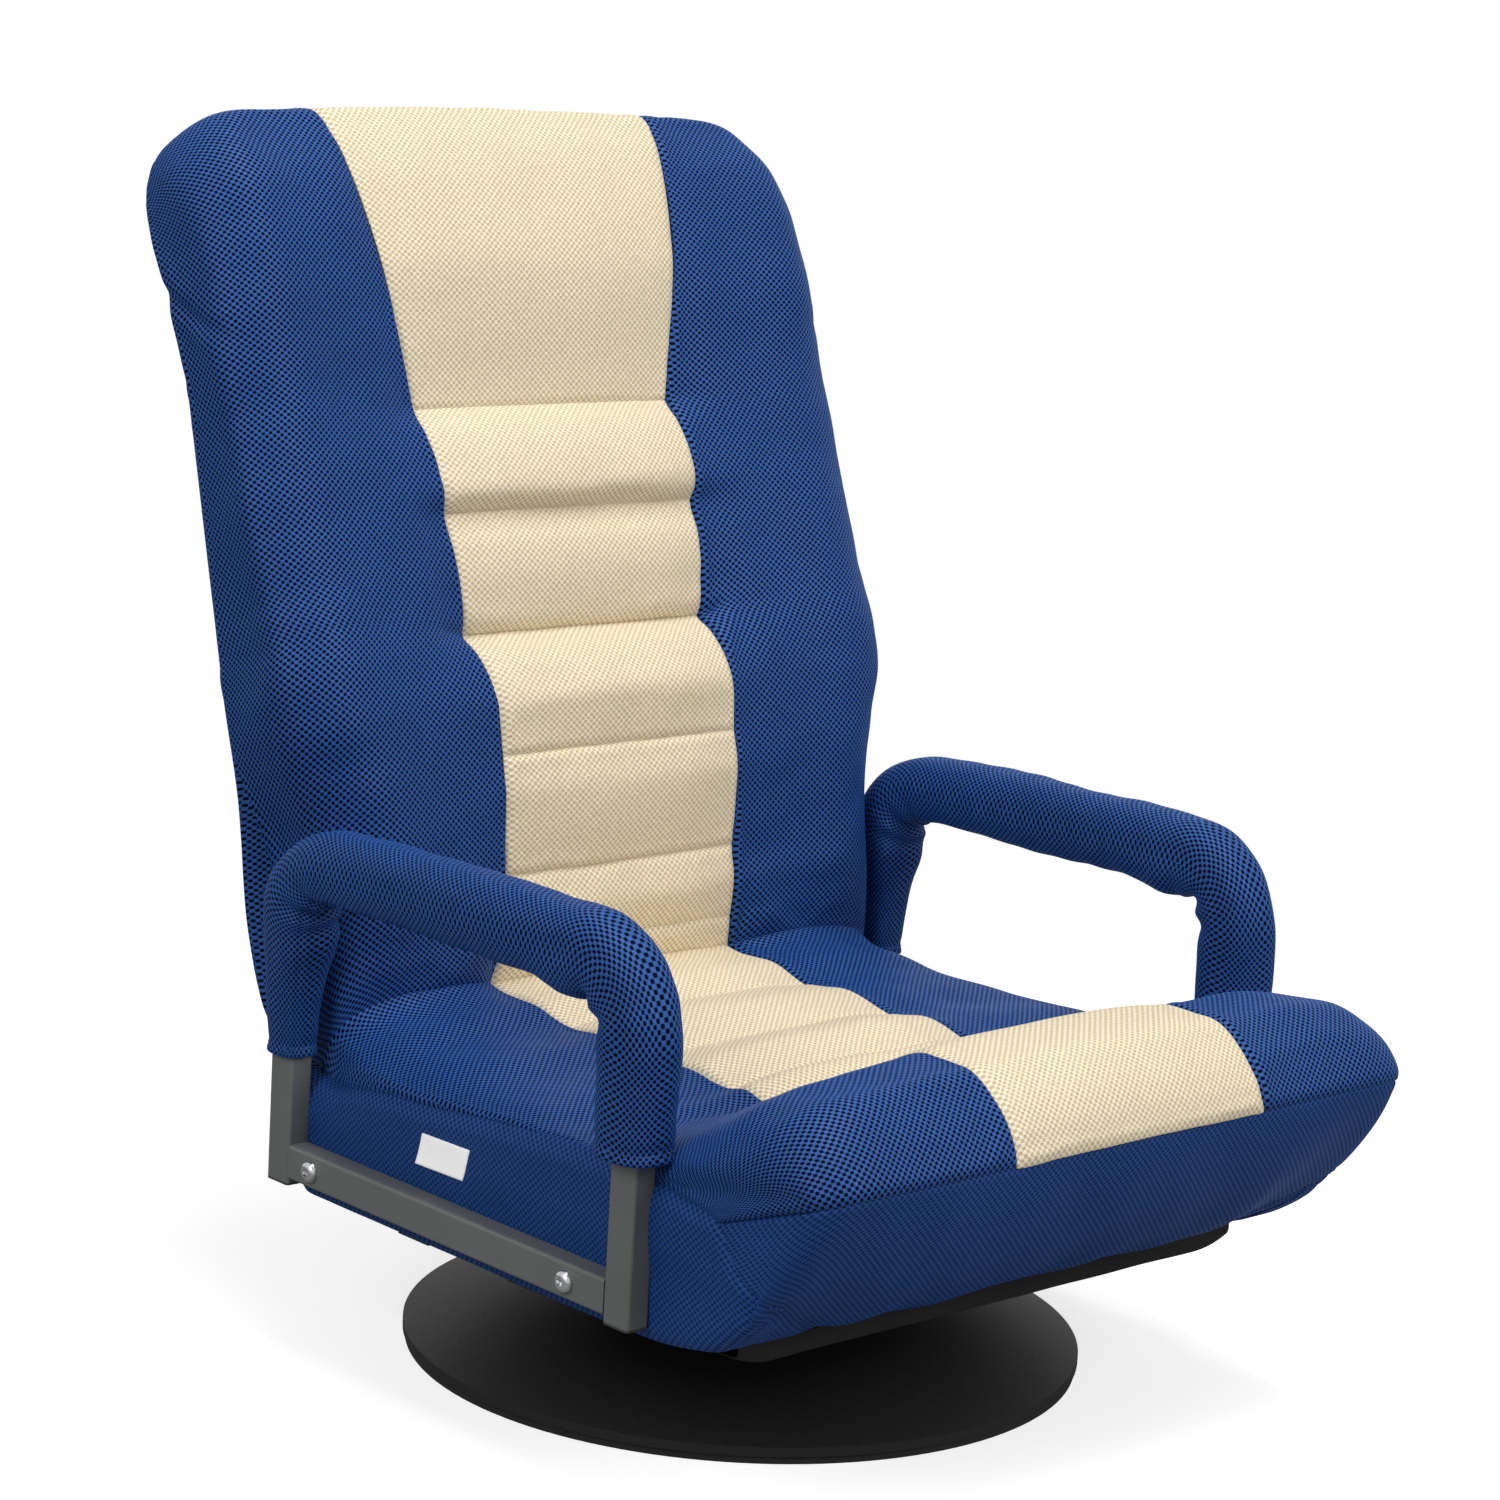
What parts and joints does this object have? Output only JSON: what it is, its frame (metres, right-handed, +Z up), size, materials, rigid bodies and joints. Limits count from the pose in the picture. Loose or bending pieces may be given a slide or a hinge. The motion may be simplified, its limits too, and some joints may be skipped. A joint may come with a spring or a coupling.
{
  "type": "floor gaming chair",
  "caption": "Legless padded floor chair with channelled seat and reclining back, tubular steel loop arms with padded sleeves, turning on a round pressed-steel swivel base.",
  "frame": {"origin": "on the floor under the swivel axis, at the centre of the round base", "axes": "+Z up along the swivel axis; the chair faces -Y; +X is the sitter's left"},
  "size_m": [0.5588, 0.6894, 0.7741],
  "materials": {
    "base_black": "satin black powder coat on pressed sheet steel",
    "foot_rubber": "black moulded rubber",
    "zinc_steel": "zinc-plated steel",
    "nylon": "natural nylon",
    "frame_black": "black powder coat on steel tube",
    "arm_grey": "grey powder coat on steel tube",
    "screw_silver": "bright nickel-plated button heads",
    "plug_black": "black moulded plastic",
    "webbing_black": "black elastic upholstery webbing",
    "foam": "open-cell upholstery foam",
    "mesh_blue": "royal-blue knitted air mesh over foam",
    "mesh_cream": "cream knitted air mesh over foam",
    "lining_black": "black non-woven lining",
    "tag_white": "blank white woven label"
  },
  "bodies": {
    "base": {"base_pan": "base_black", "base_foot_ring": "foot_rubber", "base_backing_plate": "zinc_steel", "swivel_lower_plate": "zinc_steel", "swivel_pivot_bolt": "zinc_steel", "swivel_pivot_nut": "zinc_steel", "swivel_pivot_bush": "nylon", "base_bolts": "zinc_steel", "base_nuts": "zinc_steel"},
    "bearing": {"swivel_balls": "zinc_steel", "swivel_ball_cage": "nylon"},
    "seat": {"arm_bolts": "screw_silver", "arm_foam_left": "foam", "arm_foam_right": "foam", "arm_hoop_left": "arm_grey", "arm_hoop_right": "arm_grey", "arm_nuts": "zinc_steel", "arm_plugs": "plug_black", "arm_rail_left": "arm_grey", "arm_rail_right": "arm_grey", "arm_sleeve_left": "mesh_blue", "arm_sleeve_right": "mesh_blue", "hinge_pins": "zinc_steel", "hinge_ratchet_plates": "zinc_steel", "seat_blank_tag": "tag_white", "seat_bolster_left": "mesh_blue", "seat_bolster_right": "mesh_blue", "seat_channel_pads": "mesh_cream", "seat_dust_cover": "lining_black", "seat_foam": "foam", "seat_front_band": "mesh_blue", "seat_front_bar": "frame_black", "seat_front_roll": "mesh_cream", "seat_nose_foam": "foam", "seat_rail_left": "frame_black", "seat_rail_right": "frame_black", "seat_rear_band": "mesh_blue", "seat_rear_bar": "frame_black", "seat_side_band_left": "mesh_blue", "seat_side_band_right": "mesh_blue", "seat_swivel_bars": "frame_black", "seat_swivel_bolts": "zinc_steel", "seat_swivel_nuts": "zinc_steel", "seat_webbing": "webbing_black", "swivel_upper_plate": "zinc_steel"},
    "back": {"hinge_back_plates": "zinc_steel", "hinge_pawl_springs": "zinc_steel", "back_hoop": "frame_black", "back_crossbars": "frame_black", "back_webbing": "webbing_black", "back_foam": "foam", "back_channel_pads": "mesh_cream", "back_headrest_pad": "mesh_cream", "back_bolster_left": "mesh_blue", "back_bolster_right": "mesh_blue", "back_rear_cover": "mesh_blue"},
    "pawl_left": {"hinge_pawl_left": "zinc_steel"},
    "pawl_right": {"hinge_pawl_right": "zinc_steel"}
  },
  "joints": [
    {"name": "swivel", "type": "hinge", "parent": "base", "child": "seat", "pos_m": [0, 0, 0.0835], "axis": [0, 0, 1], "continuous": true},
    {"name": "ball_orbit", "type": "hinge", "parent": "base", "child": "bearing", "pos_m": [0, 0, 0.0835], "axis": [0, 0, 1], "continuous": true},
    {"name": "recline", "type": "hinge", "parent": "seat", "child": "back", "pos_m": [0, 0.16, 0.185], "axis": [-1, 0, 0], "range_deg": [-15, 75]},
    {"name": "pawl_left_drop", "type": "hinge", "parent": "back", "child": "pawl_left", "pos_m": [0.2138, 0.18482, 0.20423], "axis": [1, 0, 0], "range_deg": [0, 12]},
    {"name": "pawl_right_drop", "type": "hinge", "parent": "back", "child": "pawl_right", "pos_m": [-0.2138, 0.18482, 0.20423], "axis": [1, 0, 0], "range_deg": [0, 12]}
  ],
  "couplings": [
    {"joint": "ball_orbit", "follows": "swivel", "ratio": 0.5}
  ]
}
